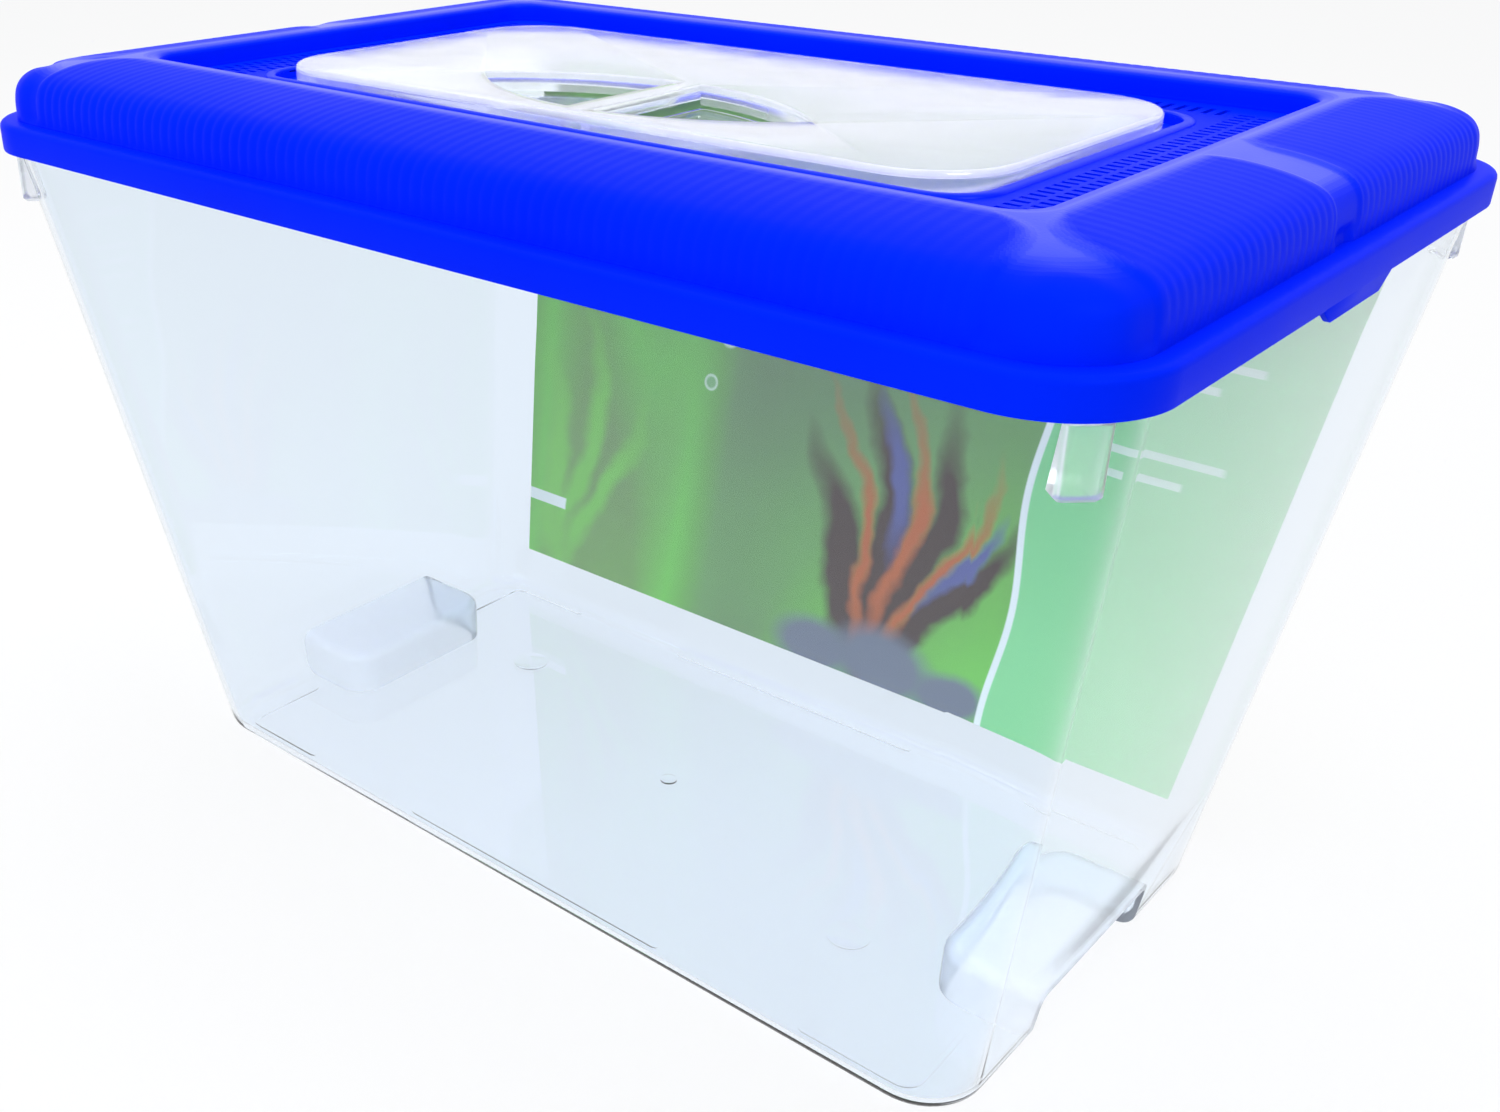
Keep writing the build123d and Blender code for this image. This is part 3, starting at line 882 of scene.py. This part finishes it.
def sheetMaterial():
    # blurred water plants on the left, a plain green field with pale bars on the right
    mat, nodes, links, shader = tree("printedSheet")
    coords = nodes.new("ShaderNodeTexCoord").outputs["Object"]
    stretch = nodes.new("ShaderNodeMapping")
    stretch.inputs["Scale"].default_value = (15.0, 1.0, 3.2)
    stretch.inputs["Rotation"].default_value = (0, 0.32, 0)
    stretch.inputs["Location"].default_value = (-0.95, 0, 0)
    links.new(coords, stretch.inputs["Vector"])
    soft = addNoise(nodes, links, 1.0, 0.0, stretch.outputs["Vector"])
    tone = addRamp(nodes, links, soft.outputs["Fac"],
                   ((0.30, (0.15, 0.26, 0.13)), (0.42, (0.16, 0.31, 0.13)), (0.50, (0.16, 0.46, 0.09)),
                    (0.58, (0.19, 0.70, 0.10)), (0.68, (0.20, 0.33, 0.12))))
    blobs = addNoise(nodes, links, 9.0, 0.0, coords)
    shade = addRamp(nodes, links, blobs.outputs["Fac"],
                    ((0.35, (0.15, 0.27, 0.12)), (0.65, (0.16, 0.52, 0.08))))
    half = nodes.new("ShaderNodeMix")
    half.data_type = "RGBA"
    half.inputs["Factor"].default_value = 0.35
    links.new(tone.outputs["Color"], half.inputs["A"])
    links.new(shade.outputs["Color"], half.inputs["B"])
    picture = half.outputs["Result"]
    curved = bendCoords(nodes, links, coords, 0.006, 55.0, 0.016)[0]
    plants = {
        "blades": ((0.20, 0.60, 0.10), 0.5, ((-128, 58, 5, 44, -14), (-114, 66, 5, 52, 2),
                                             (-101, 50, 4.5, 36, 16))),
        "dark": ((0.06, 0.035, 0.03), 0.34, ((31, 74, 7, 54, -9), (46, 70, 7, 50, 9), (17, 60, 7, 44, -27),
                                             (60, 54, 6, 40, 27))),
        "orange": ((0.50, 0.13, 0.04), 0.6, ((24, 66, 2.6, 44, -18), (39, 72, 2.8, 46, 0),
                                             (53, 60, 2.6, 38, 18))),
        "violet": ((0.10, 0.12, 0.32), 0.5, ((30, 96, 3.4, 24, -9), (62, 72, 2.6, 18, 22))),
        "stones": ((0.17, 0.20, 0.25), 0.28, ((4, 25, 17, 10, 0), (34, 27, 20, 13, 6), (62, 24, 14, 8, -5))),
    }
    for name, (colour, edge, spots) in plants.items():
        ground = coords if name == "stones" else curved
        for spot in spots:
            picture = addSpot(nodes, links, ground, picture, spot, colour, edge)
    for x, z, r in ((-62, 112, 3.2), (-56, 131, 4.2), (-65, 150, 3.0), (-58, 170, 4.8)):
        hole = r * 0.72
        picture = addSpot(nodes, links, coords, picture, (x, z, r, r, 0), (0.62, 0.78, 0.60), 0.12)
        picture = addSpot(nodes, links, coords, picture, (x, z, hole, hole, 0), (0.22, 0.48, 0.20), 0.2)
    picture = addSpot(nodes, links, coords, picture, (-141, 44, 13, 2.4, 0), (0.85, 0.92, 0.85), 0.04, True)
    # the wavy edge between picture and plain field
    across = bendCoords(nodes, links, coords, 0.0022, 75.0)[1]
    place = remap(nodes, links, across, 0.070, 0.084)
    black, white, pale = (0, 0, 0), (1, 1, 1), (0.85, 0.92, 0.85)
    line = addRamp(nodes, links, place,
                   ((0.0, black), (0.40, black), (0.45, white), (0.62, white), (0.67, black)))
    field = addRamp(nodes, links, place, ((0.0, black), (0.49, black), (0.51, white)))
    plain = addRamp(nodes, links, blobs.outputs["Fac"],
                    ((0.3, (0.20, 0.62, 0.25)), (0.7, (0.26, 0.72, 0.30))))
    right = plain.outputs["Color"]
    bars = ((118, 186, 26, 2.6), (112, 168, 20, 1.3), (116, 160, 24, 1.3), (110, 152, 18, 1.3),
            (114, 128, 22, 1.3), (108, 120, 16, 1.3))
    for bar in bars:
        right = addSpot(nodes, links, coords, right, (*bar, 0), (0.62, 0.80, 0.62), 0.05, True)
    both = mixColour(nodes, links, field.outputs["Color"], picture, right)
    whole = mixColour(nodes, links, line.outputs["Color"], both, pale)
    links.new(whole, shader.inputs["Base Color"])
    rough = addRamp(nodes, links, blobs.outputs["Fac"], ((0.3, (0.34,) * 3), (0.7, (0.40,) * 3)))
    links.new(rough.outputs["Color"], shader.inputs["Roughness"])
    return mat


def backPoint(s, z, front):
    y = halfY(z) - tank["wall"] - sheet["gap"] - (sheet["thick"] if front else 0.0) - 0.02
    reach = halfX(z) - cornerAt(z) + sheet["past"]
    return (s * reach, y, z)


def buildSheet():
    nx, nz = 60, 40
    verts, faces = [], []
    for front in (True, False):
        for j in range(nz + 1):
            z = sheet["low"] + (sheet["high"] - sheet["low"]) * j / nz
            for i in range(nx + 1):
                verts.append(backPoint(-1 + 2 * i / nx, z, front))
    layer = (nx + 1) * (nz + 1)
    for j in range(nz):
        for i in range(nx):
            a = j * (nx + 1) + i
            faces.append((a, a + 1, a + nx + 2, a + nx + 1))
            faces.append((a + layer, a + layer + nx + 1, a + layer + nx + 2, a + layer + 1))
    rim = [i for i in range(nx + 1)] + [j * (nx + 1) + nx for j in range(1, nz + 1)]
    rim += [nz * (nx + 1) + i for i in range(nx - 1, -1, -1)] + [j * (nx + 1) for j in range(nz - 1, 0, -1)]
    for a, b in zip(rim, rim[1:] + rim[:1]):
        faces.append((a, b, b + layer, a + layer))
    piece = makeObject("printedSheet", verts, faces)
    piece.data.materials.append(sheetMaterial())
    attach(piece, "tank_body")
    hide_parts("insert")
    print("sheet built")


# stage, light and camera
studio = {"paper": (0.92, 0.92, 0.93), "paperGlow": 0.84, "room": (0.93, 0.96, 1.0), "roomLevel": 0.62}


def seenRays(nodes, links):
    # 1 for rays that show the backdrop: direct, through clear plastic and mirrored
    path = nodes.new("ShaderNodeLightPath")
    result = path.outputs["Is Camera Ray"]
    for kind in ("Is Transmission Ray", "Is Glossy Ray"):
        either = nodes.new("ShaderNodeMath")
        either.operation = "MAXIMUM"
        links.new(result, either.inputs[0])
        links.new(path.outputs[kind], either.inputs[1])
        result = either.outputs[0]
    return result


def buildStage():
    wide, low = 9000, -0.2
    corners = [(-wide, -wide, low), (wide, -wide, low), (wide, wide, low), (-wide, wide, low)]
    floor = makeObject("floor", corners, [(0, 1, 2, 3)])
    mat, nodes, links, shader = tree("floorPaper")
    shader.inputs["Base Color"].default_value = (*studio["paper"], 1)
    shader.inputs["Roughness"].default_value = 0.9
    glow = nodes.new("ShaderNodeEmission")
    glow.inputs["Color"].default_value = (1, 1, 1, 1)
    glow.inputs["Strength"].default_value = 1.0
    part = nodes.new("ShaderNodeMath")
    part.operation = "MULTIPLY"
    part.inputs[1].default_value = studio["paperGlow"]
    links.new(seenRays(nodes, links), part.inputs[0])
    mix = nodes.new("ShaderNodeMixShader")
    links.new(part.outputs[0], mix.inputs[0])
    links.new(shader.outputs[0], mix.inputs[1])
    links.new(glow.outputs[0], mix.inputs[2])
    links.new(mix.outputs[0], nodes["Material Output"].inputs["Surface"])
    floor.data.materials.append(mat)

    world = bpy.data.worlds.new("studio")
    bpy.context.scene.world = world
    world.use_nodes = True
    nodes, links = world.node_tree.nodes, world.node_tree.links
    soft = nodes["Background"]
    soft.inputs["Color"].default_value = (*studio["room"], 1)
    soft.inputs["Strength"].default_value = studio["roomLevel"]
    white = nodes.new("ShaderNodeBackground")
    white.inputs["Color"].default_value = (1, 1, 1, 1)
    white.inputs["Strength"].default_value = 1.0
    mix = nodes.new("ShaderNodeMixShader")
    links.new(seenRays(nodes, links), mix.inputs[0])
    links.new(soft.outputs[0], mix.inputs[1])
    links.new(white.outputs[0], mix.inputs[2])
    links.new(mix.outputs[0], nodes["World Output"].inputs["Surface"])


def addLamp(name, place, target, size, power, glint=False):
    data = bpy.data.lights.new(name, "AREA")
    data.shape = "SQUARE"
    data.size = size
    data.energy = power
    lamp = bpy.data.objects.new(name, data)
    lamp.location = place
    lamp.rotation_euler = (Vector(target) - Vector(place)).to_track_quat("-Z", "Y").to_euler()
    lamp.visible_glossy = glint
    lamp.visible_diffuse = not glint
    bpy.context.collection.objects.link(lamp)


def addCamera():
    view = {"yaw": -0.736, "pitch": 0.493, "roll": 0.003, "place": (0.2890, -0.3794, 0.3234),
            "focal": 1573.5, "cx": 558.0, "cy": 618.1, "width": 1500.0, "height": 1112.0, "sensor": 36.0}
    yaw, pitch, roll = view["yaw"], view["pitch"], view["roll"]
    forward = Vector((math.sin(yaw) * math.cos(pitch), math.cos(yaw) * math.cos(pitch), -math.sin(pitch)))
    right = Vector((math.cos(yaw), -math.sin(yaw), 0))
    down = forward.cross(right)
    rightR = right * math.cos(roll) + down * math.sin(roll)
    downR = -right * math.sin(roll) + down * math.cos(roll)
    data = bpy.data.cameras.new("camera")
    data.sensor_fit = "HORIZONTAL"
    data.sensor_width = view["sensor"]
    data.lens = view["focal"] / view["width"] * view["sensor"]
    data.shift_x = (view["width"] / 2 - view["cx"]) / view["width"]
    data.shift_y = (view["cy"] - view["height"] / 2) / view["width"]
    data.clip_start = 0.01
    camera = bpy.data.objects.new("camera", data)
    turn = Matrix((rightR, -downR, -forward)).transposed()
    camera.matrix_world = Matrix.Translation(view["place"]) @ turn.to_4x4()
    bpy.context.collection.objects.link(camera)
    bpy.context.scene.camera = camera


bpy.context.scene.view_settings.view_transform = "Standard"
buildStage()
addLamp("overhead", place=(-0.1, 0.1, 1.5), target=(0, 0, 0.2), size=1.3, power=14.0)
addLamp("frontSoft", place=(0.2, -1.5, 0.9), target=(0, 0, 0.15), size=1.2, power=7.0)
addLamp("sideGlint", place=(1.27, -0.44, 1.17), target=(0.17, -0.1, 0.23), size=0.5, power=20.0, glint=True)
addCamera()
print("stage and camera set")

buildTank()
buildLid()
buildHatch()
buildSheet()
